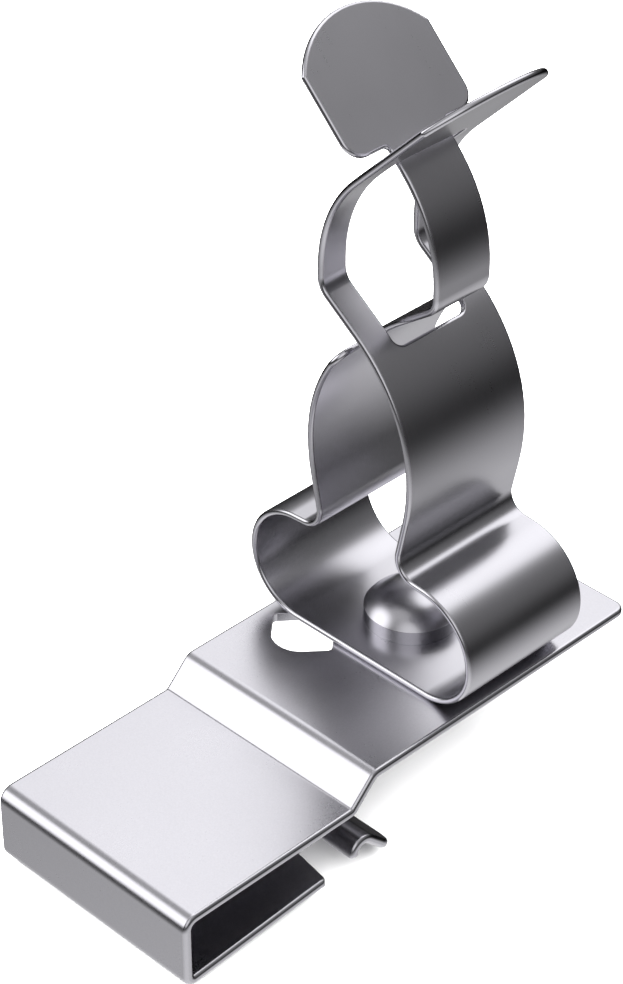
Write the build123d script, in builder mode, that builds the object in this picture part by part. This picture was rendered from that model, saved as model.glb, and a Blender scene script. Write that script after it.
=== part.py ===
from build123d import *
from math import isclose, radians, tan
import os

os.makedirs("parts", exist_ok=True)

# Cable bundle clip for the edge of a metal flange, in millimetres and degrees.
# A folded spring-steel flange clip carries a second spring strip on a rivet. The strip bends into two feet,
# an open ring for the cables and two crossed finger tabs: squeezing the tabs together opens the ring.
# Origin: the corner where the flange's edge stops, under the seat plate, in the middle of the clip's width.
# +X points out of the jaw towards the platform, +Y across the clip, +Z up.

# Flange clip, folded from one sheet: platform, step, seat plate, end wall and jaw floor
sheet = 1.0
clip_width = 25.6
sheet_edge = 0.2
jaw_depth = 20.4
jaw_height = 6.3
jaw_rise_angle = 3.4
seat_bend = 1.05
floor_bend = 0.75
step_rise = 2.87
step_angle = 45
step_foot_bend = 0.6
step_top_bend = 1.05
platform_length = 39.0
platform_corner = 1.3

# Lead-in lip at the jaw's mouth, and the two relief cuts that free its sides from the jaw floor
lip_setback = 0.4
lip_root_bend = 0.55
lip_crest_bend = 1.2
lip_angle = 43
lip_length = 4.4
lip_corner = 2.0
relief_width = 3.4
relief_neck = 15.0
relief_skew_angle = 9
relief_level = 4.95
relief_lip_skew_angle = 6

# Diamond hole in the platform
hole_from_step = 13.1
hole_offset = 7.05
hole_half_width = 4.1
hole_half_angle = 41
hole_nose = 3.0
hole_corner = 0.5

# Cable strip, folded from one spring strip: floor, feet, waist, ring, crossing, grip and tabs
strip = 0.7
strip_width = 16.0
strip_edge = 0.15
strip_from_step = 21.95
strip_offset = 0.6
floor_half = 8.25
foot_radius = 6.0
foot_angle = 176
foot_run = 1.75
waist_radius = 1.95
waist_angle = 98
ring_rise = 3.8
ring_low_radius = 21.0
ring_low_angle = 12
ring_radius = 16.8
ring_angle = 54
cross_run = 4.7
kink_radius = 2.2
kink_angle = 54
grip_rise = 1.0
grip_radius = 14.65
grip_angle = 45

# Slim neck of one arm, and the window of the other that it passes through twice
neck_width = 7.2
neck_start_angle = 39.5
neck_shoulder = 2.0
neck_fillet = 0.5
window_width = 9.25
window_start_angle = 44
window_corner = 1.0

# Finger tabs
tab_foot = 2.63
tab_side = 11.38
tab_arch = 4.2
tab_corner = 2.0

# Rivet
shank_radius = 2.5
shank_play = 0.05
head_radius = 4.8
head_height = 2.75
head_crown = 0.15
head_round = 1.2
tail_radius = 3.6
tail_height = 0.9
tail_round = 0.5

# How far a cut runs on past what it cuts
cut_reach = 1.0

# Levels and places that follow from the sizes above
platform_top = sheet + step_rise
strip_x = jaw_depth + strip_from_step
lip_x = jaw_depth + lip_setback
half_width = clip_width / 2
profile_plane = Plane((strip_x, strip_offset, platform_top), x_dir=(0, 1, 0), z_dir=(1, 0, 0))


def ahead(edge, length):
    """Straight run that leaves the end of an edge along its tangent."""
    return Line(edge @ 1, edge @ 1 + (edge % 1) * length)


def bend(edge, radius, turn):
    """Arc that leaves the end of an edge along its tangent, to the left where turn is positive."""
    return JernArc(edge @ 1, edge % 1, radius, turn)


def arm_line(side, ring_part):
    """Centreline of one arm: its stretch up to a turn of the ring, and the rest, up to the foot of its tab."""
    floor = Line((0, strip / 2), (side * floor_half, strip / 2))
    foot = bend(floor, foot_radius, side * foot_angle)
    run_in = ahead(foot, foot_run)
    waist = bend(run_in, waist_radius, -side * waist_angle)
    rise = ahead(waist, ring_rise)
    ring_low = bend(rise, ring_low_radius, side * ring_low_angle)
    ring_wide = bend(ring_low, ring_radius, side * ring_part)
    ring_high = bend(ring_wide, ring_radius, side * (ring_angle - ring_part))
    cross = ahead(ring_high, cross_run)
    kink = bend(cross, kink_radius, -side * kink_angle)
    grip_low = ahead(kink, grip_rise)
    grip_high = bend(grip_low, grip_radius, -side * grip_angle)
    return (
        [floor, foot, run_in, waist, rise, ring_low, ring_wide],
        [ring_high, cross, kink, grip_low, grip_high],
    )


def lower_section(side, ring_part):
    """Section of an arm's full-width stretch, from the middle of the floor to a turn of the ring."""
    with BuildSketch(profile_plane) as section:
        with BuildLine():
            stretch, _ = arm_line(side, ring_part)
        trace(stretch, line_width=strip)
    return section.sketch


def upper_section(side, ring_part, shift=0):
    """Section of the rest of an arm, drawn at a distance along +X from the strip's middle."""
    with BuildSketch(profile_plane.offset(shift)) as section:
        with BuildLine():
            _, stretch = arm_line(side, ring_part)
        trace(stretch, line_width=strip)
    return section.sketch


def tab_plane(side):
    """Plane in the middle of an arm's tab: its Y axis climbs the tab from the end of the arm's last bend."""
    with BuildLine():
        last = arm_line(side, neck_start_angle)[1][-1]
    origin = profile_plane.from_local_coords(last @ 1)
    climb = profile_plane.from_local_coords(last @ 1 + last % 1) - origin
    return Plane(origin, x_dir=(1, 0, 0), z_dir=Vector(1, 0, 0).cross(climb))


def tab_outline(foot):
    """Outline of a finger tab, from a distance up its plane to the top of its arch."""
    with BuildSketch() as outline:
        with BuildLine():
            left = Line((-strip_width / 2, foot), (-strip_width / 2, tab_side))
            arch = SagittaArc(left @ 1, (strip_width / 2, tab_side), tab_arch)
            right = Line(arch @ 1, (strip_width / 2, foot))
            Line(right @ 1, left @ 0)
        make_face()
    return outline.sketch


def through_edges(part, thickness):
    """Straight edges that run through a sheet, such as those at the corners of a shoulder."""
    straight = part.edges().filter_by(GeomType.LINE)
    return straight.filter_by(lambda edge: isclose(edge.length, thickness, rel_tol=1e-3))


def stretch_corners(part, side, ring_part):
    """Through edges at the end of an arm's full-width stretch, those nearest the strip's middle first."""
    with BuildLine():
        last = arm_line(side, ring_part)[0][-1]
    level = profile_plane.from_local_coords(last @ 1).Z
    corners = through_edges(part, strip).group_by(lambda edge: abs(edge.center().Z - level), tol_digits=3)[0]
    return corners.sort_by(lambda edge: abs(edge.center().X - strip_x))


def rims(part, thickness, fold_axis):
    """Edges round a sheet's broad faces: those through the sheet and those along its folds are left out."""
    through = through_edges(part, thickness)
    return part.edges().filter_by(lambda edge: edge not in through).filter_by(fold_axis, reverse=True)


# Relief cuts, one at each side: a slot in the jaw floor that also takes the foot of the lip
with BuildPart() as relief:
    relief_depth = half_width - relief_neck / 2
    lip_face = lip_x - sheet / 2
    slot_start = lip_face - relief_width
    slot_end = slot_start + relief_depth * tan(radians(relief_skew_angle))
    below = jaw_height + sheet + cut_reach
    with BuildSketch(Plane.XY.offset(-jaw_height / 2)):
        with BuildLine():
            Polyline(
                (slot_start, half_width),
                (slot_end, relief_neck / 2),
                (lip_face, relief_neck / 2),
                (lip_face, half_width),
                close=True,
            )
        make_face()
    extrude(amount=jaw_height / 2 - below)
    with BuildSketch(Plane.YZ.offset(lip_face)):
        with BuildLine():
            Polyline(
                (half_width, -relief_level),
                (relief_neck / 2, relief_depth * tan(radians(relief_lip_skew_angle)) - relief_level),
                (relief_neck / 2, -below),
                (half_width, -below),
                close=True,
            )
        make_face()
    extrude(amount=sheet + cut_reach)
    mirror(about=Plane.XZ)

with BuildPart() as flange_clip:
    with BuildSketch(Plane.XZ):
        with BuildLine():
            fold_shift = sheet / 2 * tan(radians(step_angle / 2))
            step_foot = jaw_depth + fold_shift
            step_top = step_foot + step_rise / tan(radians(step_angle))
            floor_level = -jaw_height - sheet / 2
            slope = tan(radians(jaw_rise_angle))
            root_turn = 90 - jaw_rise_angle
            floor_end = lip_x - lip_root_bend * tan(radians(root_turn / 2)) / Vector(1, slope).length
            folds = FilletPolyline(
                (jaw_depth + platform_length, platform_top - sheet / 2),
                (step_top, platform_top - sheet / 2),
                (step_foot, sheet / 2),
                (-sheet / 2, sheet / 2),
                (-sheet / 2, floor_level),
                (floor_end, floor_level + slope * (floor_end + sheet / 2)),
                radius=[step_top_bend, step_foot_bend, seat_bend, floor_bend],
            )
            root = bend(folds, lip_root_bend, root_turn)
            crest = bend(root, lip_crest_bend, -(90 + lip_angle))
            ahead(crest, lip_length)
        trace(line_width=sheet)
    extrude(amount=half_width, both=True)
    fillet(through_edges(flange_clip, sheet).sort_by(Axis.X)[-2:], platform_corner)
    fillet(through_edges(flange_clip, sheet).sort_by(Axis.Z)[:2], lip_corner)
    chamfer(rims(flange_clip, sheet, Axis.Y), sheet_edge)
    add(relief.part, mode=Mode.SUBTRACT)
    with BuildSketch(Plane.XY.offset(platform_top)):
        with BuildLine():
            hole_x = jaw_depth + hole_from_step
            hole_half_length = hole_half_width / tan(radians(hole_half_angle))
            Polyline(
                (hole_x - hole_half_length, hole_offset),
                (hole_x, hole_offset + hole_half_width),
                (hole_x + hole_half_length, hole_offset),
                (hole_x, hole_offset - hole_half_width),
                close=True,
            )
        make_face()
        fillet(vertices().sort_by(Axis.X)[0], hole_nose)
        fillet(vertices().sort_by(Axis.X)[2:], hole_corner)
    extrude(amount=-(sheet + cut_reach), mode=Mode.SUBTRACT)
    with Locations((strip_x, strip_offset, platform_top)):
        Hole(shank_radius + shank_play, depth=sheet + cut_reach)

with BuildPart() as neck_arm:
    extrude(lower_section(1, neck_start_angle), amount=strip_width / 2, both=True)
    extrude(upper_section(1, neck_start_angle), amount=neck_width / 2, both=True)
    fillet(stretch_corners(neck_arm, 1, neck_start_angle)[2:], neck_shoulder)
    fillet(stretch_corners(neck_arm, 1, neck_start_angle)[:2], neck_fillet)
    with BuildSketch(tab_plane(1)):
        add(tab_outline(tab_foot))
        fillet(vertices().group_by(Axis.Y)[0], tab_corner)
        with Locations((0, tab_foot / 2)):
            Rectangle(neck_width, tab_foot)
        neck_ends = vertices().filter_by_position(Axis.X, -neck_width / 2, neck_width / 2)
        fillet(neck_ends.group_by(Axis.Y)[-1], neck_fillet)
    extrude(amount=strip / 2, both=True)

with BuildPart() as window_arm:
    leg_width = (strip_width - window_width) / 2
    extrude(lower_section(-1, window_start_angle), amount=strip_width / 2, both=True)
    extrude(upper_section(-1, window_start_angle, window_width / 2), amount=leg_width)
    extrude(upper_section(-1, window_start_angle, -window_width / 2), amount=-leg_width)
    fillet(stretch_corners(window_arm, -1, window_start_angle)[:2], window_corner)
    with BuildSketch(tab_plane(-1)):
        add(tab_outline(0))
        with Locations((0, tab_foot / 2)):
            Rectangle(window_width, tab_foot, mode=Mode.SUBTRACT)
        window_ends = vertices().filter_by_position(Axis.X, -window_width / 2, window_width / 2)
        fillet(window_ends.group_by(Axis.Y)[-1], window_corner)
    extrude(amount=strip / 2, both=True)

with BuildPart() as cable_clip:
    add(neck_arm.part)
    add(window_arm.part)
    chamfer(rims(cable_clip, strip, Axis.X), strip_edge)
    with Locations((strip_x, strip_offset, platform_top + strip)):
        Hole(shank_radius + shank_play, depth=strip + cut_reach)

with BuildPart() as rivet:
    with BuildSketch(Plane((strip_x, strip_offset, 0), x_dir=(1, 0, 0), z_dir=(0, -1, 0))):
        with BuildLine():
            seat = platform_top + strip
            head_top = seat + head_height
            under = platform_top - sheet
            crown = TangentArc((0, head_top), (head_radius, head_top - head_crown), tangent=(1, 0))
            Polyline(
                crown @ 1,
                (head_radius, seat),
                (shank_radius, seat),
                (shank_radius, under),
                (tail_radius, under),
                (tail_radius, under - tail_height),
                (0, under - tail_height),
                (0, head_top),
            )
        make_face()
        fillet(vertices().sort_by(Axis.X)[-2:].sort_by(Axis.Y)[-1], head_round)
        fillet(vertices().filter_by_position(Axis.X, tail_radius, tail_radius).sort_by(Axis.Y)[0], tail_round)
    revolve(axis=Axis((strip_x, strip_offset, 0), (0, 0, 1)))

for name, piece in (("flange_clip", flange_clip), ("cable_clip", cable_clip), ("rivet", rivet)):
    piece.part.label = name
    export_step(piece.part, f"parts/{name}.step")
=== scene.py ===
import logging
from dataclasses import dataclass
from enum import Enum
from math import asin, atan2, ceil, copysign, cos, pi, radians, sin, tan
from typing import ClassVar

import bmesh
import bpy
from mathutils import Matrix, Vector


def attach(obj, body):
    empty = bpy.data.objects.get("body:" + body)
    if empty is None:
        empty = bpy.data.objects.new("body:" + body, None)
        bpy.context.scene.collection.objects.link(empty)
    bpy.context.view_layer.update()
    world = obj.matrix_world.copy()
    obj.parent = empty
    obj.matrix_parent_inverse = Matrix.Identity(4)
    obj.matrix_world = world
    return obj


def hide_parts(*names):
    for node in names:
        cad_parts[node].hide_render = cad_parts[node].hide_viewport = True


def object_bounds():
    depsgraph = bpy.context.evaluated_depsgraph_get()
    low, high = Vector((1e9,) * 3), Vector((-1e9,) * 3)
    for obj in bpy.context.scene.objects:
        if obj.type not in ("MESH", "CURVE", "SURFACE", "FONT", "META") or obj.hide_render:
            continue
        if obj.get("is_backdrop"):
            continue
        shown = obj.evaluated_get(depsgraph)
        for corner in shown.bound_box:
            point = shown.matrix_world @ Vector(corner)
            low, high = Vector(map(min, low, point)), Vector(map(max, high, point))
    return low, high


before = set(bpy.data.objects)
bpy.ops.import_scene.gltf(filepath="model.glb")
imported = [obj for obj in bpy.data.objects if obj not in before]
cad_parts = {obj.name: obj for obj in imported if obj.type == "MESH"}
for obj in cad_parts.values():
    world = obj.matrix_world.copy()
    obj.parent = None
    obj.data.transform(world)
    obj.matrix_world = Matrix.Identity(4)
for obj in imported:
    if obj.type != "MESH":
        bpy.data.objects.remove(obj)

# The sheets and the rivet are drawn in millimetres and placed in metres.
MILLIMETRE = 0.001

# Turn that one flat facet spans in a fold, in a corner of an outline, and in a hole or the rivet's profile
FOLD_FACET, CORNER_FACET, ROUND_FACET = radians(4.0), radians(6.0), radians(8.0)

# Facets across the quarter round of a rim
RIM_FACETS = 4

# Millimetres under which two points of an outline are one, and under which a point is on a fold's line
SAME_POINT, ON_LINE = 1e-4, 2e-3

# Vertex attributes of a blank: its place before folding, its outward direction, and how far it lies on a rim
FLAT, FACING, RIM = "flat", "facing", "rim"

# Middle value of a noise, and the part of its added blue that a cool grey loses in green
NOISE_MIDDLE, GREEN_LOSS = 0.5, 0.25

log = logging.getLogger("cable_bundle_clip")


# Node trees


class Flow:
    """A number on its way through a node tree, with Python's operators for its sums."""

    def __init__(self, bench: "Bench", socket: bpy.types.NodeSocket) -> None:
        """Keeps the socket that gives the number, and the bench that its sums are laid on."""
        self.bench = bench
        self.socket = socket

    def sum(self, operation: str, *values: "Flow | float") -> "Flow":
        """Adds one Math node.

        Args:
            operation: The Math node's operation.
            values: Its operands, in order.

        Returns:
            The node's result.
        """
        node = self.bench.node("ShaderNodeMath", {"operation": operation}, dict(enumerate(values)))
        return Flow(self.bench, node.outputs[0])

    def __add__(self, other: "Flow | float") -> "Flow":
        """self + other."""
        return self.sum("ADD", self, other)

    __radd__ = __add__

    def __sub__(self, other: "Flow | float") -> "Flow":
        """self - other."""
        return self.sum("SUBTRACT", self, other)

    def __rsub__(self, other: "Flow | float") -> "Flow":
        """other - self."""
        return self.sum("SUBTRACT", other, self)

    def __mul__(self, other: "Flow | float") -> "Flow":
        """self * other."""
        return self.sum("MULTIPLY", self, other)

    __rmul__ = __mul__

    def __truediv__(self, other: "Flow | float") -> "Flow":
        """self / other."""
        return self.sum("DIVIDE", self, other)

    def __pow__(self, other: "Flow | float") -> "Flow":
        """self ** other."""
        return self.sum("POWER", self, other)

    def __abs__(self) -> "Flow":
        """The number without its sign."""
        return self.sum("ABSOLUTE", self)

    def sign(self) -> "Flow":
        """Minus one, nought or one."""
        return self.sum("SIGN", self)

    def between(self, low: "Flow | float", high: "Flow | float") -> "Flow":
        """The number, held between two others."""
        return self.sum("MINIMUM", self.sum("MAXIMUM", self, low), high)

    def rise(self, low: float, high: float) -> "Flow":
        """Nought up to low and one from high, with a smooth rise between them."""
        share = ((self - low) / (high - low)).between(0.0, 1.0)
        return share * share * (3.0 - 2.0 * share)


class Bench:
    """A node tree under construction."""

    def __init__(self, tree: bpy.types.NodeTree) -> None:
        """Starts on an empty tree."""
        self.tree = tree
        tree.nodes.clear()

    def node(self, kind: str, settings: dict | None = None, values: dict | None = None) -> bpy.types.Node:
        """Adds a node.

        Args:
            kind: The node's type.
            settings: Its settings, which are set first.
            values: A number, vector, name, socket or Flow for each input, by the input's name or number.

        Returns:
            The node.
        """
        node = self.tree.nodes.new(kind)
        for name, value in (settings or {}).items():
            setattr(node, name, value)
        for key, value in (values or {}).items():
            self.feed(node.inputs[key], value)
        return node

    def feed(self, socket: bpy.types.NodeSocket, value: object) -> None:
        """Links a socket or a Flow into an input, or sets the input's own value.

        Args:
            socket: The input.
            value: What it takes.
        """
        source = value.socket if isinstance(value, Flow) else value
        if isinstance(source, bpy.types.NodeSocket):
            self.tree.links.new(source, socket)
        else:
            socket.default_value = source

    def flow(self, kind: str, settings: dict | None = None, values: dict | None = None, out: int | str = 0) -> Flow:
        """Adds a node and gives one of its results as a Flow."""
        return Flow(self, self.node(kind, settings, values).outputs[out])

    def noise(self, place: bpy.types.NodeSocket, size: float, detail: float) -> Flow:
        """Noise of a size in the place's own unit, with that many finer layers."""
        return self.flow("ShaderNodeTexNoise", None, {"Vector": place, "Scale": 1 / size, "Detail": detail})

    def blend(self, share: Flow, first: object, second: object) -> bpy.types.NodeSocket:
        """Two colours, blended by a share of the second."""
        values = {"Factor": share, "A": first, "B": second}
        return self.node("ShaderNodeMix", {"data_type": "RGBA"}, values).outputs["Result"]


# Finishes


def grey(level: float, cool: float = 1.0) -> tuple[float, float, float, float]:
    """A grey of that level, bluer where cool is over one."""
    return (level, level * (1.0 - GREEN_LOSS * (cool - 1.0)), level * cool, 1.0)


class Pattern(Enum):
    """Where a finish's grain comes from."""

    ROLLED = "along the sheet, as it left the mill"
    HEADED = "rings round the rivet, as the set left them"


@dataclass(frozen=True)
class Grain:
    """The patterns that a finish is mixed from: soft clouds, fine specks, faint streaks, and wear on the rims."""

    clouds: Flow
    specks: Flow
    streaks: Flow
    worn: Flow


@dataclass(frozen=True)
class SteelFinish:
    """Satin spring steel with fine grain, soft clouds in its shine and polished rims.

    Sizes and heights are in millimetres, but streak_height is a share of grain_height and rim_tone of the tone.
    Clouds, specks and streaks tint the steel by tint_shares. spread is how far the tint moves the tone, and how
    far the specks move the shine, which is the roughness.
    """

    name: str
    pattern: Pattern
    tone: float = 0.52
    cool: float = 1.055
    spread: float = 0.045
    tint_shares: tuple[float, float, float] = (0.22, 0.7, 0.08)
    tint_range: tuple[float, float] = (0.25, 0.75)
    shine: float = 0.29
    shine_range: tuple[float, float] = (0.05, 0.9)
    cloud_shine: float = 0.08
    streak_shine: float = 0.03
    cloud_size: float = 9.0
    cloud_detail: float = 4.0
    grain_size: float = 0.14
    grain_detail: float = 2.0
    grain_height: float = 0.0008
    grain_strength: float = 0.2
    streak_height: float = 0.05
    mill_lines: tuple[float, float, float] = (0.2, 3.0, 1.0)
    mill_detail: float = 5.0
    rings: float = 7.0
    ring_detail: float = 4.0
    rim_tone: float = 1.2
    rim_cover: float = 0.5
    rim_shine: float = 0.15
    rim_least_wear: float = 0.55

    def material(self) -> bpy.types.Material:
        """Builds the finish.

        Returns:
            The material, with its colour, roughness and bump from nodes.
        """
        material = bpy.data.materials.new(self.name)
        material.use_nodes = True
        bench = Bench(material.node_tree)
        grain = self._grain(bench)
        bump = bench.node(
            "ShaderNodeBump",
            None,
            {
                "Strength": self.grain_strength,
                "Distance": self.grain_height * MILLIMETRE,
                "Height": grain.specks + grain.streaks * self.streak_height,
            },
        )
        shader = bench.node(
            "ShaderNodeBsdfPrincipled",
            None,
            {
                "Base Color": self._colour(bench, grain),
                "Metallic": 1.0,
                "Roughness": self._roughness(grain),
                "Normal": bump.outputs[0],
            },
        )
        bench.node("ShaderNodeOutputMaterial", None, {"Surface": shader.outputs[0]})
        return material

    def _grain(self, bench: Bench) -> Grain:
        """Lays out the patterns.

        Args:
            bench: The material's bench.

        Returns:
            The patterns, each from nought to one.
        """
        place = self._place(bench)
        clouds = bench.noise(place, self.cloud_size, self.cloud_detail)
        specks = bench.noise(place, self.grain_size, self.grain_detail)
        rim = bench.flow("ShaderNodeAttribute", {"attribute_name": RIM}, None, "Fac")
        worn = rim * (self.rim_least_wear + (1.0 - self.rim_least_wear) * clouds)
        return Grain(clouds, specks, self._streaks(bench, place), worn)

    def _place(self, bench: Bench) -> bpy.types.NodeSocket:
        """Finds where the grain is read.

        Args:
            bench: The material's bench.

        Returns:
            The place in millimetres: on the flat sheet for a rolled finish, else on the object.
        """
        if self.pattern is Pattern.ROLLED:
            return bench.node("ShaderNodeAttribute", {"attribute_name": FLAT}).outputs["Vector"]
        place = bench.node("ShaderNodeTexCoord").outputs["Object"]
        return bench.node("ShaderNodeMapping", None, {"Vector": place, "Scale": (1 / MILLIMETRE,) * 3}).outputs[0]

    def _streaks(self, bench: Bench, place: bpy.types.NodeSocket) -> Flow:
        """Draws faint lines of the rolling mill, or faint rings round the rivet's middle.

        Args:
            bench: The material's bench.
            place: Where the grain is read.

        Returns:
            The lines or the rings.
        """
        if self.pattern is Pattern.ROLLED:
            drawn = bench.node("ShaderNodeMapping", None, {"Vector": place, "Scale": self.mill_lines})
            return bench.noise(drawn.outputs[0], 1.0, self.mill_detail)
        middle_x, middle_y = Rivet.centre
        centred = bench.node("ShaderNodeMapping", None, {"Vector": place, "Location": (-middle_x, -middle_y, 0.0)})
        parts = bench.node("ShaderNodeSeparateXYZ", None, {0: centred.outputs[0]})
        x, y = Flow(bench, parts.outputs[0]), Flow(bench, parts.outputs[1])
        radius = (x * x + y * y) ** 0.5
        around = bench.node("ShaderNodeCombineXYZ", None, {0: radius * self.rings})
        return bench.noise(around.outputs[0], 1.0, self.ring_detail)

    def _colour(self, bench: Bench, grain: Grain) -> bpy.types.NodeSocket:
        """Mixes the colour, from dull to light steel, and lighter on the rims.

        Args:
            bench: The material's bench.
            grain: The patterns.

        Returns:
            The colour.
        """
        clouds, specks, streaks = self.tint_shares
        tint = (clouds * grain.clouds + specks * grain.specks + streaks * grain.streaks).rise(*self.tint_range)
        dull, light = (grey(self.tone * level, self.cool) for level in (1.0 - self.spread, 1.0 + self.spread))
        colour = bench.blend(tint, dull, light)
        return bench.blend(grain.worn * self.rim_cover, colour, grey(self.tone * self.rim_tone, self.cool))

    def _roughness(self, grain: Grain) -> Flow:
        """Mixes the roughness, smoother on the rims.

        Args:
            grain: The patterns.

        Returns:
            The roughness.
        """
        rough = self.shine + (grain.clouds - NOISE_MIDDLE) * self.cloud_shine
        rough = rough + (grain.specks - NOISE_MIDDLE) * self.spread
        rough = rough + (grain.streaks - NOISE_MIDDLE) * self.streak_shine
        return (rough - grain.worn * (self.shine - self.rim_shine)).between(*self.shine_range)


# Meshes


def smooth_mesh(made: bmesh.types.BMesh, name: str) -> bpy.types.Mesh:
    """Turns a closed shape's faces outwards, shades them smooth and keeps them.

    Args:
        made: The shape, which is freed.
        name: The mesh's name.

    Returns:
        The mesh.
    """
    bmesh.ops.recalc_face_normals(made, faces=made.faces)
    for face in made.faces:
        face.smooth = True
    mesh = bpy.data.meshes.new(name)
    made.to_mesh(mesh)
    made.free()
    return mesh


def add_object(name: str, data: bpy.types.ID) -> bpy.types.Object:
    """Makes an object at the origin and puts it in the scene.

    Args:
        name: Its name.
        data: Its mesh, light or camera.

    Returns:
        The object.
    """
    made = bpy.data.objects.new(name, data)
    bpy.context.scene.collection.objects.link(made)
    return made


# Flat blanks


@dataclass(frozen=True)
class Corner:
    """A corner of a blank's outline. rim is the round of the edge that follows it."""

    along: float
    across: float
    fillet: float
    rim: float


@dataclass(frozen=True)
class RimPoint:
    """A point on an outline, the direction out of the sheet there, and the round of its edge.

    On the rivet's profile, the last is how far the point is polished.
    """

    place: Vector
    out: Vector
    rim: float


def add_point(points: list[RimPoint], point: RimPoint) -> None:
    """Adds a point to an outline, unless it is the same as the last."""
    if not points or (point.place - points[-1].place).length > SAME_POINT:
        points.append(point)


def rounded_loop(corners: list[Corner]) -> list[RimPoint]:
    """Follows an outline with its corners rounded.

    Args:
        corners: The corners in order, with the sheet to the left of the way round.

    Returns:
        The points of the rounded outline.
    """
    points: list[RimPoint] = []
    for before, corner, after in zip(corners[-1:] + corners, corners, corners[1:] + corners[:1]):
        here = Vector((corner.along, corner.across))
        into = (here - Vector((before.along, before.across))).normalized()
        away = (Vector((after.along, after.across)) - here).normalized()
        turn = atan2(into.x * away.y - into.y * away.x, into.dot(away))
        way = copysign(1.0, turn)
        start = here - into * corner.fillet * tan(abs(turn) / 2)
        centre = start + Vector((-into.y, into.x)) * corner.fillet * way
        facets = max(2, ceil(abs(turn) / CORNER_FACET))
        for step in range(facets + 1):
            share = step / facets
            heading = atan2(into.y, into.x) + turn * share
            out = Vector((sin(heading), -cos(heading)))
            rim = before.rim + (corner.rim - before.rim) * share
            add_point(points, RimPoint(centre + out * corner.fillet * way, out, rim))
    if (points[0].place - points[-1].place).length < SAME_POINT:
        points.pop()
    return points


def round_hole(along: float, across: float, radius: float, rim: float) -> list[RimPoint]:
    """Follows a round hole's edge.

    Args:
        along: The hole's middle along the sheet.
        across: The hole's middle across the sheet.
        radius: Its radius.
        rim: The round of its edge.

    Returns:
        The points of the edge, with the sheet to the left of the way round.
    """
    count = ceil(2 * pi / ROUND_FACET)
    ways = [(cos(turn), sin(turn)) for turn in (-2 * pi * step / count for step in range(count))]
    return [RimPoint(Vector((along + radius * x, across + radius * y)), Vector((-x, -y)), rim) for x, y in ways]


@dataclass
class Blank:
    """A flat sheet with rounded rims, before it is folded."""

    thickness: float
    loops: list[list[RimPoint]]
    cuts: list[float]

    def mesh(self, name: str) -> bpy.types.Mesh:
        """Builds the closed blank, cut across at every line that a fold needs.

        Args:
            name: The mesh's name.

        Returns:
            The mesh in millimetres: x along the sheet, y across it, z through it.
        """
        made = bmesh.new()
        made.verts.layers.float_vector.new(FACING)
        made.verts.layers.float.new(RIM)
        caps: dict[int, list[bmesh.types.BMEdge]] = {1: [], -1: []}
        for loop in self.loops:
            rings = [[self._vertex(made, point, tilt, side) for point in loop] for tilt, side in self._levels()]
            self._wall(made, rings)
            for side, ring in ((1, rings[0]), (-1, rings[-1])):
                caps[side] += [made.edges.get((a, b)) for a, b in zip(ring, ring[1:] + ring[:1])]
        for side, edges in caps.items():
            bmesh.ops.triangle_fill(made, use_beauty=True, edges=edges, normal=(0, 0, side))
        for cut in self.cuts:
            everything = made.verts[:] + made.edges[:] + made.faces[:]
            bmesh.ops.bisect_plane(made, geom=everything, dist=ON_LINE, plane_co=(cut, 0, 0), plane_no=(1, 0, 0))
        return smooth_mesh(made, name)

    def _levels(self) -> list[tuple[float, int]]:
        """The tilt of the rim's surface at each ring, from the top face to the bottom face, and its half."""
        tilts = [pi / 2 * (1 - step / RIM_FACETS) for step in range(RIM_FACETS + 1)]
        return [(tilt, 1) for tilt in tilts] + [(-tilt, -1) for tilt in reversed(tilts)]

    def _vertex(self, made: bmesh.types.BMesh, point: RimPoint, tilt: float, side: int) -> bmesh.types.BMVert:
        """Adds one point of a ring of the rim.

        Args:
            made: The blank's mesh.
            point: The point of the outline that it belongs to.
            tilt: How far the rim's surface is tilted there.
            side: 1 on the half of the top face, -1 on the half of the bottom face.

        Returns:
            The vertex.
        """
        place = point.place - point.out * point.rim * (1 - cos(tilt))
        height = side * (self.thickness / 2 - point.rim) + point.rim * sin(tilt)
        vertex = made.verts.new((place.x, place.y, height))
        vertex[made.verts.layers.float_vector[FACING]] = (*(point.out * cos(tilt)), sin(tilt))
        vertex[made.verts.layers.float[RIM]] = cos(tilt)
        return vertex

    def _wall(self, made: bmesh.types.BMesh, rings: list[list[bmesh.types.BMVert]]) -> None:
        """Joins the rings of a rim.

        Args:
            made: The blank's mesh.
            rings: The rings, from the top face to the bottom face.
        """
        for upper, lower in zip(rings, rings[1:]):
            for index, vertex in enumerate(upper):
                following = (index + 1) % len(upper)
                made.faces.new((vertex, lower[index], lower[following], upper[following]))


# Folding


@dataclass(frozen=True)
class Stretch:
    """A straight or bent stretch of a folded sheet, by the line in the middle of its thickness.

    A turn is in radians and positive towards the top face. A straight stretch has no turn and gives its length
    as its size, and a bend gives its radius.
    """

    name: str
    size: float
    turn: float = 0.0

    @property
    def length(self) -> float:
        """How much of the flat sheet the stretch takes."""
        return abs(self.turn) * self.size if self.turn else self.size


@dataclass(frozen=True)
class Fold:
    """A bend of the sheet and where it starts on the flat sheet. side is -1 on the half before the middle."""

    name: str
    side: int
    start: float
    radius: float
    turn: float


def folds_of(stretches: list[Stretch], side: int = 1, prefix: str = "") -> list[Fold]:
    """Lists the folds of one half of a sheet, in the order in which they follow each other from its middle.

    Args:
        stretches: The half's stretches.
        side: -1 for the half before the middle.
        prefix: What the folds' names start with.

    Returns:
        The folds, each with its start on the flat sheet.
    """
    folds, start = [], 0.0
    for stretch in stretches:
        if stretch.turn:
            folds.append(Fold(f"{prefix}{stretch.name}", side, start, stretch.size, stretch.turn))
        start += stretch.length
    return folds


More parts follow.
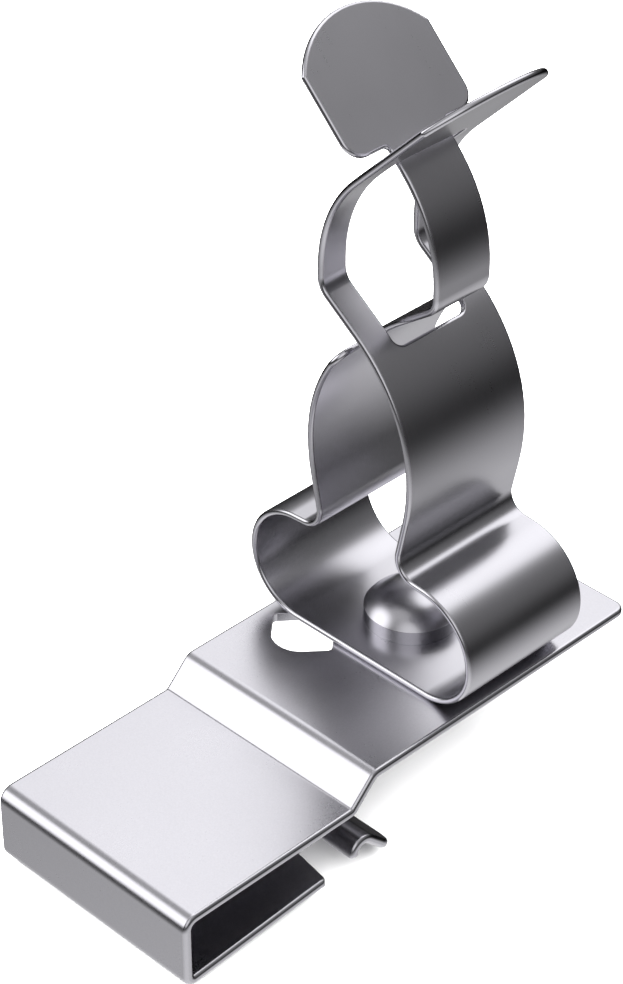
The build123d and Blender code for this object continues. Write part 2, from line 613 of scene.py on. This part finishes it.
def start_of(stretches: list[Stretch], name: str) -> float:
    """Where a stretch starts on the flat sheet."""
    names = [stretch.name for stretch in stretches]
    return sum(stretch.length for stretch in stretches[: names.index(name)])


def fold_lines(folds: list[Fold]) -> list[float]:
    """Finds the lines across the flat sheet at which its facets change direction.

    Args:
        folds: The sheet's folds.

    Returns:
        How far along the sheet each line is.
    """
    lines: list[float] = []
    for fold in folds:
        facets = ceil(abs(fold.turn) / FOLD_FACET)
        reach = abs(fold.turn) * fold.radius
        lines += [fold.side * (fold.start + reach * step / facets) for step in range(facets + 1)]
    return lines


def axes(along: Vector, through: Vector, origin: Vector) -> Matrix:
    """The matrix from a flat sheet's axes to the model's."""
    across = through.cross(along)
    return Matrix.Translation(origin) @ Matrix((along, across, through)).transposed().to_4x4()


class PressBrake:
    """Geometry nodes that fold a blank, one fold after another, from its ends to its middle."""

    # A fold's sizes, which each piece's tree takes as named inputs
    SIZES: ClassVar[tuple[str, ...]] = ("start", "radius", "turn")

    def __init__(self) -> None:
        """Builds the one fold that every piece's tree repeats."""
        self.one_fold = self._one_fold()

    def _tree(self, name: str, sizes: list[str]) -> tuple[Bench, bpy.types.Node]:
        """Starts a tree from geometry to geometry.

        Args:
            name: The tree's name.
            sizes: The names of its other inputs.

        Returns:
            The tree's bench, and the node that gives its inputs.
        """
        tree = bpy.data.node_groups.new(name, "GeometryNodeTree")
        for way in ("INPUT", "OUTPUT"):
            tree.interface.new_socket("Geometry", in_out=way, socket_type="NodeSocketGeometry")
        for size in sizes:
            tree.interface.new_socket(size, in_out="INPUT", socket_type="NodeSocketFloat")
        bench = Bench(tree)
        return bench, bench.node("NodeGroupInput")

    def _one_fold(self) -> bpy.types.NodeTree:
        """Builds a fold: what lies past its start is wound round its axis, and the rest turns with it.

        Returns:
            The tree.
        """
        names = ("Side", "Start", "Radius", "Turn")
        bench, given = self._tree("one_fold", list(names))
        side, start, radius, turn = (Flow(bench, given.outputs[name]) for name in names)
        along = bench.flow("ShaderNodeSeparateXYZ", None, {0: self._attribute(bench, FLAT)})
        wound = ((along * side - start) / radius).between(0.0, abs(turn))
        slip = bench.node("ShaderNodeCombineXYZ", None, {0: wound * radius * side})
        axis = bench.node("ShaderNodeCombineXYZ", None, {0: start * side, 2: radius * turn.sign()})
        angle = wound * side * turn.sign() * -1.0
        place = bench.node(
            "ShaderNodeVectorMath",
            {"operation": "SUBTRACT"},
            {0: bench.node("GeometryNodeInputPosition").outputs[0], 1: slip.outputs[0]},
        )
        moved = bench.node(
            "ShaderNodeVectorRotate",
            {"rotation_type": "Y_AXIS"},
            {"Vector": place.outputs[0], "Center": axis.outputs[0], "Angle": angle},
        )
        turned = bench.node(
            "ShaderNodeVectorRotate",
            {"rotation_type": "Y_AXIS"},
            {"Vector": self._attribute(bench, FACING), "Angle": angle},
        )
        faced = self._store(bench, given.outputs["Geometry"], FACING, turned.outputs[0])
        folded = bench.node("GeometryNodeSetPosition", None, {"Geometry": faced, "Position": moved.outputs[0]})
        bench.node("NodeGroupOutput", None, {0: folded.outputs[0]})
        return bench.tree

    def _attribute(self, bench: Bench, name: str) -> bpy.types.NodeSocket:
        """A vector that the blank carries on its points."""
        settings = {"data_type": "FLOAT_VECTOR"}
        return bench.node("GeometryNodeInputNamedAttribute", settings, {"Name": name}).outputs[0]

    def _store(
        self, bench: Bench, geometry: bpy.types.NodeSocket, name: str, value: bpy.types.NodeSocket
    ) -> bpy.types.NodeSocket:
        """Writes a vector on the blank's points.

        Args:
            bench: The tree's bench.
            geometry: The blank.
            name: The vector's name.
            value: The vector.

        Returns:
            The blank that carries it.
        """
        settings = {"data_type": "FLOAT_VECTOR", "domain": "POINT"}
        values = {"Geometry": geometry, "Name": name, "Value": value}
        return bench.node("GeometryNodeStoreNamedAttribute", settings, values).outputs[0]

    def tree(self, name: str, folds: list[Fold], material: bpy.types.Material) -> bpy.types.NodeTree:
        """Builds a piece's folding tree.

        Args:
            name: The tree's name.
            folds: The folds of the piece, outermost last on each side of its middle.
            material: The finish that the tree sets.

        Returns:
            The tree, with the named sizes of every fold as its inputs.
        """
        bench, given = self._tree(name, [f"{fold.name} {size}" for fold in folds for size in self.SIZES])
        position = bench.node("GeometryNodeInputPosition")
        geometry = self._store(bench, given.outputs["Geometry"], FLAT, position.outputs[0])
        for fold in reversed(folds):
            sizes = {size.capitalize(): given.outputs[f"{fold.name} {size}"] for size in self.SIZES}
            step = bench.node(
                "GeometryNodeGroup",
                {"node_tree": self.one_fold},
                {"Geometry": geometry, "Side": float(fold.side), **sizes},
            )
            geometry = step.outputs[0]
        real = bench.node("GeometryNodeRealizeInstances", None, {"Geometry": geometry})
        dressed = bench.node("GeometryNodeSetMaterial", None, {"Geometry": real.outputs[0], "Material": material})
        bench.node("NodeGroupOutput", None, {0: dressed.outputs[0]})
        return bench.tree

    def fold(
        self, name: str, blank: Blank, folds: list[Fold], place: Matrix, material: bpy.types.Material
    ) -> bpy.types.Object:
        """Folds a blank and puts it in its place.

        Args:
            name: The piece's name.
            blank: The flat sheet.
            folds: Its folds.
            place: From the flat sheet's own axes, in millimetres, to the model's.
            material: Its finish.

        Returns:
            The piece as a plain mesh at the origin.
        """
        piece = add_object(name, blank.mesh(f"{name}_flat"))
        modifier = piece.modifiers.new("folds", "NODES")
        tree = self.tree(f"{name}_folds", folds, material)
        inputs = {item.name: item.identifier for item in tree.interface.items_tree if item.in_out == "INPUT"}
        modifier.node_group = tree
        for fold in folds:
            for size in self.SIZES:
                modifier[inputs[f"{fold.name} {size}"]] = getattr(fold, size)
        graph = bpy.context.evaluated_depsgraph_get()
        folded = piece.evaluated_get(graph)
        mesh = bpy.data.meshes.new_from_object(folded, preserve_all_data_layers=True, depsgraph=graph)
        mesh.name = name
        piece.modifiers.clear()
        piece.data = mesh
        mesh.transform(Matrix.Scale(MILLIMETRE, 4) @ place)
        facing = [place.to_3x3() @ point.vector for point in mesh.attributes[FACING].data]
        mesh.normals_split_custom_set_from_vertices([direction.normalized() for direction in facing])
        return piece


# Pieces


@dataclass
class FlangeClip:
    """The folded flange clip: platform, step, seat plate, end wall, jaw floor and lead-in lip."""

    thickness: float = 1.0
    width: float = 25.6
    rim: float = 0.42
    cut_rim: float = 0.06
    jaw_depth: float = 20.4
    jaw_height: float = 6.3
    jaw_rise: float = radians(3.4)
    seat_bend: float = 1.05
    floor_bend: float = 0.75
    step_rise: float = 2.87
    step_turn: float = radians(45)
    step_foot_bend: float = 0.85
    step_top_bend: float = 1.05
    platform_length: float = 39.0
    platform_corner: float = 1.3
    lip_setback: float = 0.4
    lip_root_bend: float = 0.55
    lip_crest_bend: float = 1.2
    lip_turn: float = radians(43)
    lip_length: float = 4.4
    lip_corner: float = 2.0
    relief_width: float = 3.4
    relief_neck: float = 15.0
    relief_skew: float = radians(9)
    relief_level: float = -5.35
    relief_lip_skew: float = radians(6)
    relief_mouth_corner: float = 0.462
    relief_corner: float = 0.12
    hole_from_step: float = 13.1
    hole_offset: float = 7.05
    hole_half_width: float = 4.1
    hole_half_angle: float = radians(41)
    hole_nose: float = 3.0
    hole_corner: float = 0.5

    @property
    def end(self) -> float:
        """How far the platform reaches along X."""
        return self.jaw_depth + self.platform_length

    @property
    def top(self) -> float:
        """The platform's upper face."""
        return self.thickness + self.step_rise

    def stretches(self) -> list[Stretch]:
        """Lists the sheet's stretches from the platform's end to the lip's.

        Returns:
            The straight and bent stretches in order.
        """
        half = self.thickness / 2
        step_top_set = self.step_top_bend * tan(self.step_turn / 2)
        step_foot_set = self.step_foot_bend * tan(self.step_turn / 2)
        step_foot = self.jaw_depth + half * tan(self.step_turn / 2)
        step_top = step_foot + self.step_rise / tan(self.step_turn)
        floor_turn = pi / 2 + self.jaw_rise
        floor_set = self.floor_bend * tan(floor_turn / 2)
        root_turn = pi / 2 - self.jaw_rise
        lip = self.jaw_depth + self.lip_setback
        floor = (lip + half) / cos(self.jaw_rise) - self.lip_root_bend * tan(root_turn / 2)
        return [
            Stretch("platform", self.end - step_top - step_top_set),
            Stretch("step top", self.step_top_bend, -self.step_turn),
            Stretch("step", self.step_rise / sin(self.step_turn) - step_top_set - step_foot_set),
            Stretch("step foot", self.step_foot_bend, self.step_turn),
            Stretch("seat", step_foot + half - step_foot_set - self.seat_bend),
            Stretch("seat bend", self.seat_bend, -pi / 2),
            Stretch("end wall", self.jaw_height + self.thickness - self.seat_bend - floor_set),
            Stretch("floor bend", self.floor_bend, -floor_turn),
            Stretch("jaw floor", floor - floor_set),
            Stretch("lip root", self.lip_root_bend, -root_turn),
            Stretch("lip crest", self.lip_crest_bend, pi / 2 + self.lip_turn),
            Stretch("lip", self.lip_length),
        ]

    def relief(self, stretches: list[Stretch]) -> list[tuple[float, float]]:
        """Lays out a relief cut, which is a slot in the jaw floor that runs up into the side of the lip.

        Args:
            stretches: The sheet's stretches.

        Returns:
            The cut's four corners, from the floor's to the lip's: how far along the sheet and from its middle.
        """
        neck, edge = self.relief_neck / 2, self.width / 2
        lip = self.jaw_depth + self.lip_setback
        slot_end = self.thickness / 2 + self.relief_width
        slot_neck = slot_end - (edge - neck) * tan(self.relief_skew)
        slope = cos(self.jaw_rise)
        root_set = self.lip_root_bend * tan((pi / 2 - self.jaw_rise) / 2)
        floor_end = start_of(stretches, "lip root") + root_set
        crest, bend = start_of(stretches, "lip crest"), self.lip_crest_bend
        floor_level = (lip + self.thickness / 2) * tan(self.jaw_rise) - self.jaw_height - self.thickness / 2
        rise = self.relief_level - floor_level - root_set
        neck_rise = rise + (edge - neck) * tan(self.relief_lip_skew)
        return [
            (floor_end - slot_end / slope, edge),
            (floor_end - slot_neck / slope, neck),
            (crest + bend * asin(neck_rise / bend), neck),
            (crest + rise, edge),
        ]

    def outline(self, stretches: list[Stretch]) -> list[RimPoint]:
        """Follows the sheet's outline with its rounded corners and relief cuts.

        Args:
            stretches: The sheet's stretches.

        Returns:
            The points of the outline.
        """
        length, edge = sum(stretch.length for stretch in stretches), self.width / 2
        cut = self.relief(stretches)
        rounds = (self.relief_mouth_corner, self.relief_corner, self.relief_corner, self.relief_mouth_corner)
        inner = (self.cut_rim,) * 3
        near = [Corner(a, -b, turn, rim) for (a, b), turn, rim in zip(cut, rounds, (*inner, self.rim))]
        far = [Corner(a, b, turn, rim) for (a, b), turn, rim in zip(cut, rounds, (self.rim, *inner))]
        lip = [Corner(length, side * edge, self.lip_corner, self.rim) for side in (-1, 1)]
        start, end = (Corner(0.0, side * edge, self.platform_corner, self.rim) for side in (-1, 1))
        return rounded_loop([start, *near, *lip, *reversed(far), end])

    def hole(self) -> list[RimPoint]:
        """Follows the diamond-shaped hole in the platform, with its one rounded nose.

        Returns:
            The points of the hole's edge.
        """
        middle, offset = self.end - self.jaw_depth - self.hole_from_step, -self.hole_offset
        length, half = self.hole_half_width / tan(self.hole_half_angle), self.hole_half_width
        return rounded_loop(
            [
                Corner(middle + length, offset, self.hole_nose, self.cut_rim),
                Corner(middle, offset - half, self.hole_corner, self.cut_rim),
                Corner(middle - length, offset, self.hole_corner, self.cut_rim),
                Corner(middle, offset + half, self.hole_corner, self.cut_rim),
            ]
        )

    def build(self, brake: PressBrake, material: bpy.types.Material) -> bpy.types.Object:
        """Cuts, folds and places the flange clip.

        Args:
            brake: What folds it.
            material: Its finish.

        Returns:
            The piece, which stands for its node.
        """
        stretches = self.stretches()
        folds = folds_of(stretches)
        rivet_x, rivet_y = Rivet.centre
        rivet_hole = round_hole(self.end - rivet_x, -rivet_y, Rivet.hole_radius, self.cut_rim)
        blank = Blank(self.thickness, [self.outline(stretches), self.hole(), rivet_hole], fold_lines(folds))
        origin = Vector((self.end, 0.0, self.top - self.thickness / 2))
        place = axes(Vector((-1, 0, 0)), Vector((0, 0, 1)), origin)
        piece = brake.fold("folded_flange_clip", blank, folds, place, material)
        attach(piece, "root")
        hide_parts("flange_clip")
        return piece


class Arm(Enum):
    """The strip's two arms, by the half of the flat strip that each is made of."""

    NECK = 1
    WINDOW = -1


@dataclass(frozen=True)
class Foot:
    """A foot of the strip: its part of the floor, the radii of its side and its top, and its run to the waist."""

    floor: float
    side_radius: float
    top_radius: float
    run: float


@dataclass
class CableClip:
    """The folded spring strip: feet, waist, ring, crossed arms, grip and finger tabs."""

    thickness: float = 0.7
    width: float = 16.0
    rim: float = 0.33
    cut_rim: float = 0.06
    neck_foot: Foot = Foot(8.25, 6.0, 6.0, 1.46)
    window_foot: Foot = Foot(9.03, 5.48, 6.52, 1.235)
    foot_top_turn: float = radians(86)
    waist_radius: float = 2.2
    waist_turn: float = radians(98)
    ring_rise: float = 3.51
    ring_low_radius: float = 21.0
    ring_low_turn: float = radians(12)
    ring_radius: float = 16.8
    ring_turn: float = radians(54)
    cross_run: float = 4.55
    kink_radius: float = 2.2
    kink_turn: float = radians(54)
    grip_rise: float = 1.0
    grip_radius: float = 14.65
    grip_turn: float = radians(45)
    neck_width: float = 7.2
    neck_start: float = radians(39.5)
    neck_shoulder: float = 2.0
    neck_fillet: float = 0.5
    window_width: float = 9.25
    window_start: float = radians(44.8)
    window_corner: float = 1.0
    tab_foot: float = 2.63
    tab_side: float = 11.38
    tab_arch: float = 4.2
    tab_corner: float = 2.0
    tab_shoulder: float = 0.396

    def stretches(self, arm: Arm) -> list[Stretch]:
        """Lists one arm's stretches, from the middle of the floor to the top of its tab.

        Args:
            arm: The arm.

        Returns:
            The straight and bent stretches in order.
        """
        foot = self.neck_foot if arm is Arm.NECK else self.window_foot
        return [
            Stretch("floor", foot.floor),
            Stretch("foot side", foot.side_radius, pi / 2),
            Stretch("foot top", foot.top_radius, self.foot_top_turn),
            Stretch("foot run", foot.run),
            Stretch("waist", self.waist_radius, -self.waist_turn),
            Stretch("rise", self.ring_rise),
            Stretch("low ring", self.ring_low_radius, self.ring_low_turn),
            Stretch("ring", self.ring_radius, self.ring_turn),
            Stretch("crossing", self.cross_run),
            Stretch("kink", self.kink_radius, -self.kink_turn),
            Stretch("grip rise", self.grip_rise),
            Stretch("grip", self.grip_radius, -self.grip_turn),
            Stretch("tab", self.tab_side + self.tab_arch),
        ]

    def tab(self, arm: Arm) -> list[Corner]:
        """Lays out the arched end of a tab, in the order in which the outline is followed.

        Args:
            arm: The arm that ends in it.

        Returns:
            The two shoulders of the arch, and between them the corner that its tangents meet in.
        """
        edge, side = self.width / 2, arm.value
        shoulder = start_of(self.stretches(arm), "tab") + self.tab_side
        half_turn = 2 * atan2(self.tab_arch, edge)
        room = edge / cos(half_turn) - self.tab_shoulder * tan((pi / 2 - half_turn) / 2)
        return [
            Corner(side * shoulder, -side * edge, self.tab_shoulder, self.rim),
            Corner(side * (shoulder + edge * tan(half_turn)), 0.0, room / tan(half_turn), self.rim),
            Corner(side * shoulder, side * edge, self.tab_shoulder, self.rim),
        ]

    def outline(self) -> list[RimPoint]:
        """Follows the strip's outline: the neck and its tab on one arm, the full width and its tab on the other.

        Returns:
            The points of the outline.
        """
        edge, slim = self.width / 2, self.neck_width / 2
        stretches = self.stretches(Arm.NECK)
        shoulder = start_of(stretches, "ring") + self.neck_start * self.ring_radius
        foot = start_of(stretches, "tab") + self.tab_foot
        low = [
            Corner(shoulder, -edge, self.neck_shoulder, self.rim),
            Corner(shoulder, -slim, self.neck_fillet, self.rim),
            Corner(foot, -slim, self.neck_fillet, self.rim),
            Corner(foot, -edge, self.tab_corner, self.rim),
        ]
        high = [Corner(corner.along, -corner.across, corner.fillet, corner.rim) for corner in reversed(low)]
        return rounded_loop([*low, *self.tab(Arm.NECK), *high, *self.tab(Arm.WINDOW)])

    def window(self) -> list[RimPoint]:
        """Follows the window that the other arm's neck passes through.

        Returns:
            The points of the window's edge.
        """
        stretches, half = self.stretches(Arm.WINDOW), self.window_width / 2
        low = -(start_of(stretches, "ring") + self.window_start * self.ring_radius)
        high = -(start_of(stretches, "tab") + self.tab_foot)
        places = ((low, -half), (high, -half), (high, half), (low, half))
        return rounded_loop([Corner(along, across, self.window_corner, self.rim) for along, across in places])

    def build(self, seat: float, brake: PressBrake, material: bpy.types.Material) -> bpy.types.Object:
        """Cuts, folds and places the cable clip.

        Args:
            seat: The level of the face that it lies on.
            brake: What folds it.
            material: Its finish.

        Returns:
            The piece, which stands for its node.
        """
        folds = []
        for arm in Arm:
            folds += folds_of(self.stretches(arm), arm.value, f"{arm.name.lower()} arm ")
        rivet_hole = round_hole(0.0, 0.0, Rivet.hole_radius, self.cut_rim)
        blank = Blank(self.thickness, [self.outline(), self.window(), rivet_hole], fold_lines(folds))
        origin = Vector((*Rivet.centre, seat + self.thickness / 2))
        place = axes(Vector((0, 1, 0)), Vector((0, 0, 1)), origin)
        piece = brake.fold("folded_cable_clip", blank, folds, place, material)
        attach(piece, "root")
        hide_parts("cable_clip")
        return piece


@dataclass(frozen=True)
class Arc:
    """An arc of the rivet's profile: its middle, radius, start and stop, and how far it is polished.

    A hollow arc has a negative radius.
    """

    middle: tuple[float, float]
    radius: float
    start: float
    stop: float
    polish: float = 0.0

    def points(self) -> list[RimPoint]:
        """Follows the arc.

        Returns:
            Its points, with their outward directions.
        """
        turn = self.stop - self.start
        steps = max(3, ceil(abs(turn) / ROUND_FACET))
        angles = [self.start + turn * step / steps for step in range(steps + 1)]
        ways = [Vector((cos(angle), sin(angle))) for angle in angles]
        middle, out = Vector(self.middle), copysign(1.0, self.radius)
        return [RimPoint(middle + way * abs(self.radius), way * out, self.polish) for way in ways]


@dataclass
class Rivet:
    """The rivet that holds the strip on the platform: domed head, shank and set tail."""

    centre: ClassVar[tuple[float, float]] = (42.35, 0.6)
    hole_radius: ClassVar[float] = 2.55
    shank_radius: float = 2.5
    head_radius: float = 4.8
    head_wall: float = 1.55
    dome_radius: float = 8.0
    shoulder_radius: float = 4.5
    shoulder_lean: float = radians(56)
    crease: float = 0.1
    tail_radius: float = 3.6
    tail_height: float = 0.9
    tail_round: float = 0.5
    edge_round: float = 0.02
    polish: float = 0.6
    facets: int = 120

    def profile(self, seat: float, under: float) -> list[RimPoint]:
        """Follows the turned profile from the top of the head to the bottom of the tail.

        Args:
            seat: The level that the head sits on.
            under: The level that the tail is set against.

        Returns:
            The points, as distance from the axis and height, with their outward directions.
        """
        dome, shoulder, crease = self.dome_radius, self.shoulder_radius, self.crease
        inset = self.head_radius - shoulder * sin(self.shoulder_lean)
        shoulder_level = seat + self.head_wall - shoulder * cos(self.shoulder_lean)
        lean = asin(inset / (dome - shoulder))
        dome_level = shoulder_level - (dome - shoulder) * cos(lean)
        brow = pi / 2 - self.shoulder_lean
        brow_level = seat + self.head_wall - crease * sin(brow)
        edge, tail, low = self.edge_round, self.tail_round, under - self.tail_height
        wall, shank = self.head_radius - edge, self.shank_radius + edge
        arcs = (
            Arc((0.0, dome_level), dome, pi / 2, pi / 2 - lean),
            Arc((inset, shoulder_level), shoulder, pi / 2 - lean, brow),
            Arc((self.head_radius - crease, brow_level), crease, brow, 0.0, self.polish),
            Arc((wall, seat + edge), edge, 0.0, -pi / 2, self.polish),
            Arc((shank, seat - edge), -edge, pi / 2, pi),
            Arc((shank, under + edge), -edge, pi, 3 * pi / 2),
            Arc((self.tail_radius - edge, under - edge), edge, pi / 2, 0.0, self.polish),
            Arc((self.tail_radius - tail, low + tail), tail, 0.0, -pi / 2, self.polish),
        )
        points: list[RimPoint] = []
        for point in (point for arc in arcs for point in arc.points()):
            add_point(points, point)
        return points + [RimPoint(Vector((0.0, low)), Vector((0.0, -1.0)), 0.0)]

    def mesh(self, profile: list[RimPoint]) -> bpy.types.Mesh:
        """Turns the profile round the rivet's axis.

        Args:
            profile: The points, from the middle of the head to the middle of the tail.

        Returns:
            The closed mesh.
        """
        made = bmesh.new()
        facing = made.verts.layers.float_vector.new(FACING)
        polished = made.verts.layers.float.new(RIM)
        turns = [2 * pi * step / self.facets for step in range(self.facets)]
        rings = []
        for point in profile:
            ring = []
            for turn in turns if point.place.x > SAME_POINT else turns[:1]:
                across, out = point.place.x, point.out.x
                x, y = self.centre[0] + across * cos(turn), self.centre[1] + across * sin(turn)
                vertex = made.verts.new((x, y, point.place.y))
                vertex[facing] = (out * cos(turn), out * sin(turn), point.out.y)
                vertex[polished] = point.rim
                ring.append(vertex)
            rings.append(ring)
        for upper, lower in zip(rings, rings[1:]):
            for index in range(self.facets):
                following = (index + 1) % self.facets
                near = (upper[index % len(upper)], lower[index % len(lower)])
                far = (lower[following % len(lower)], upper[following % len(upper)])
                # A pole is one vertex, so the facets round it are triangles
                made.faces.new(dict.fromkeys(near + far))
        mesh = smooth_mesh(made, "turned_rivet")
        mesh.transform(Matrix.Scale(MILLIMETRE, 4))
        mesh.normals_split_custom_set_from_vertices([point.vector for point in mesh.attributes[FACING].data])
        return mesh

    def build(self, seat: float, under: float, material: bpy.types.Material) -> bpy.types.Object:
        """Turns and dresses the rivet.

        Args:
            seat: The level that the head sits on.
            under: The level that the tail is set against.
            material: Its finish.

        Returns:
            The piece, which stands for its node.
        """
        mesh = self.mesh(self.profile(seat, under))
        mesh.materials.append(material)
        piece = add_object("turned_rivet", mesh)
        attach(piece, "root")
        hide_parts("rivet")
        return piece


# Studio


@dataclass(frozen=True)
class Sky:
    """Light that grows with height: the heights between which it rises, from -1 to 1, and its full level."""

    low: float
    high: float
    level: float

    def glow(self, height: Flow) -> Flow:
        """How much of the light comes from each height."""
        return height.rise(self.low, self.high) * self.level


@dataclass(frozen=True)
class SoftBox:
    """A soft light far away: its direction, its half width to the middle of its soft edge, and its level."""

    toward: tuple[float, float, float]
    half_width: float
    softness: float
    level: float

    def glow(self, bench: Bench, way: bpy.types.NodeSocket) -> Flow:
        """Works out how much of the light comes from each direction.

        Args:
            bench: The world's bench.
            way: The direction.

        Returns:
            The light's level there.
        """
        middle = Vector(self.toward).normalized()
        along = bench.flow("ShaderNodeVectorMath", {"operation": "DOT_PRODUCT"}, {0: way, 1: middle}, "Value")
        outer, inner = cos(self.half_width + self.softness / 2), cos(self.half_width - self.softness / 2)
        return along.rise(outer, inner) * self.level


@dataclass
class Studio:
    """A pale floor, soft light and the camera."""

    camera_place: tuple[float, float, float] = (-0.13498, -0.16271, 0.18983)
    camera_lens: float = 112.57
    camera_clip: tuple[float, float] = (0.01, 20.0)
    floor_size: float = 4.0
    floor_gap: float = 0.0005
    floor_tone: float = 0.86
    lamp_place: tuple[float, float, float] = (0.02, 0.0, 1.0)
    lamp_size: float = 3.0
    lamp_power: float = 170.0
    backdrop: float = 0.95
    skies: tuple[Sky, ...] = (Sky(-0.2, 0.4, 0.19), Sky(0.48, 1.1, 0.6))
    boxes: tuple[SoftBox, ...] = (
        SoftBox((-0.70, 0.60, 0.42), radians(23), radians(14), 2.1),
        SoftBox((-0.68, -0.54, 0.50), radians(20), radians(26), 0.95),
        SoftBox((0.62, 0.23, 0.76), radians(32), radians(10), 1.42),
        SoftBox((-0.12, -0.16, -1.00), radians(51), radians(56), 1.0),
    )

    def floor(self, low: float) -> bpy.types.Object:
        """Lays the floor just under the part.

        Args:
            low: The part's lowest level.

        Returns:
            The floor, which isn't part of the object.
        """
        made = bmesh.new()
        bmesh.ops.create_grid(made, x_segments=1, y_segments=1, size=self.floor_size / 2)
        mesh = bpy.data.meshes.new("floor")
        made.to_mesh(mesh)
        made.free()
        mesh.transform(Matrix.Translation((0.0, 0.0, low - self.floor_gap)))
        material = bpy.data.materials.new("pale_floor")
        material.use_nodes = True
        bench = Bench(material.node_tree)
        shader = bench.node("ShaderNodeBsdfDiffuse", None, {"Color": grey(self.floor_tone)})
        bench.node("ShaderNodeOutputMaterial", None, {"Surface": shader.outputs[0]})
        mesh.materials.append(material)
        floor = add_object("floor", mesh)
        floor.visible_glossy = False
        floor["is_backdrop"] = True
        return floor

    def camera(self) -> bpy.types.Object:
        """Sets the camera at the photograph's angle, which looks down along a cube's diagonal.

        Returns:
            The camera.
        """
        data = bpy.data.cameras.new("camera")
        data.lens = self.camera_lens
        data.clip_start, data.clip_end = self.camera_clip
        camera = add_object("camera", data)
        right, up, back = Vector((1, -1, 0)), Vector((1, 1, 2)), Vector((-1, -1, 1))
        turned = Matrix([side.normalized() for side in (right, up, back)]).transposed()
        camera.matrix_world = Matrix.Translation(self.camera_place) @ turned.to_4x4()
        bpy.context.scene.camera = camera
        return camera

    def floor_lamp(self) -> bpy.types.Object:
        """Hangs a wide lamp over the floor, which the steel doesn't mirror.

        Returns:
            The lamp.
        """
        data = bpy.data.lights.new("floor_lamp", "AREA")
        data.shape = "SQUARE"
        data.size = self.lamp_size
        data.energy = self.lamp_power
        lamp = add_object("floor_lamp", data)
        lamp.matrix_world = Matrix.Translation(self.lamp_place)
        lamp.visible_glossy = False
        return lamp

    def surroundings(self) -> bpy.types.World:
        """Builds the light all round: the sky, soft boxes at the left and at the rear, and the lit ground.

        Returns:
            The world.
        """
        world = bpy.data.worlds.new("studio")
        world.use_nodes = True
        bench = Bench(world.node_tree)
        way = bench.node("ShaderNodeTexCoord").outputs["Generated"]
        height = bench.flow("ShaderNodeSeparateXYZ", None, {0: way}, 2)
        first, *others = [sky.glow(height) for sky in self.skies] + [box.glow(bench, way) for box in self.boxes]
        seen = bench.flow("ShaderNodeLightPath", None, None, "Is Camera Ray")
        level = sum(others, first) * (1.0 - seen) + self.backdrop * seen
        shade = bench.node("ShaderNodeCombineColor", None, {0: level, 1: level, 2: level})
        background = bench.node("ShaderNodeBackground", None, {"Color": shade.outputs[0], "Strength": 1.0})
        bench.node("ShaderNodeOutputWorld", None, {"Surface": background.outputs[0]})
        bpy.context.scene.world = world
        return world

    def build(self, low: float) -> None:
        """Sets up the whole studio round the part.

        Args:
            low: The part's lowest level.
        """
        self.camera()
        self.floor(low)
        self.floor_lamp()
        self.surroundings()
        bpy.context.scene.view_settings.view_transform = "Standard"


def main() -> None:
    """Builds the studio under the model's lowest level, then the pieces in order."""
    logging.basicConfig(level=logging.INFO, format="%(name)s: %(message)s")
    solid_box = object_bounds()
    Studio().build(low=solid_box[0][2])
    flange_steel = SteelFinish("flange_steel_finish", Pattern.ROLLED).material()
    strip_steel = SteelFinish("strip_steel_finish", Pattern.ROLLED, grain_size=0.12, spread=0.02).material()
    rivet_steel = SteelFinish("rivet_steel_finish", Pattern.HEADED, cloud_size=5.0, spread=0.02).material()
    brake = PressBrake()
    flange_clip, cable_clip = FlangeClip(), CableClip()
    under = flange_clip.top - flange_clip.thickness
    seat = flange_clip.top + cable_clip.thickness
    pieces = [
        flange_clip.build(brake, flange_steel),
        cable_clip.build(flange_clip.top, brake, strip_steel),
        Rivet().build(seat, under, rivet_steel),
    ]
    for piece in pieces:
        log.info("%s: %d faces", piece.name, len(piece.data.polygons))


if __name__ == "__main__":
    main()
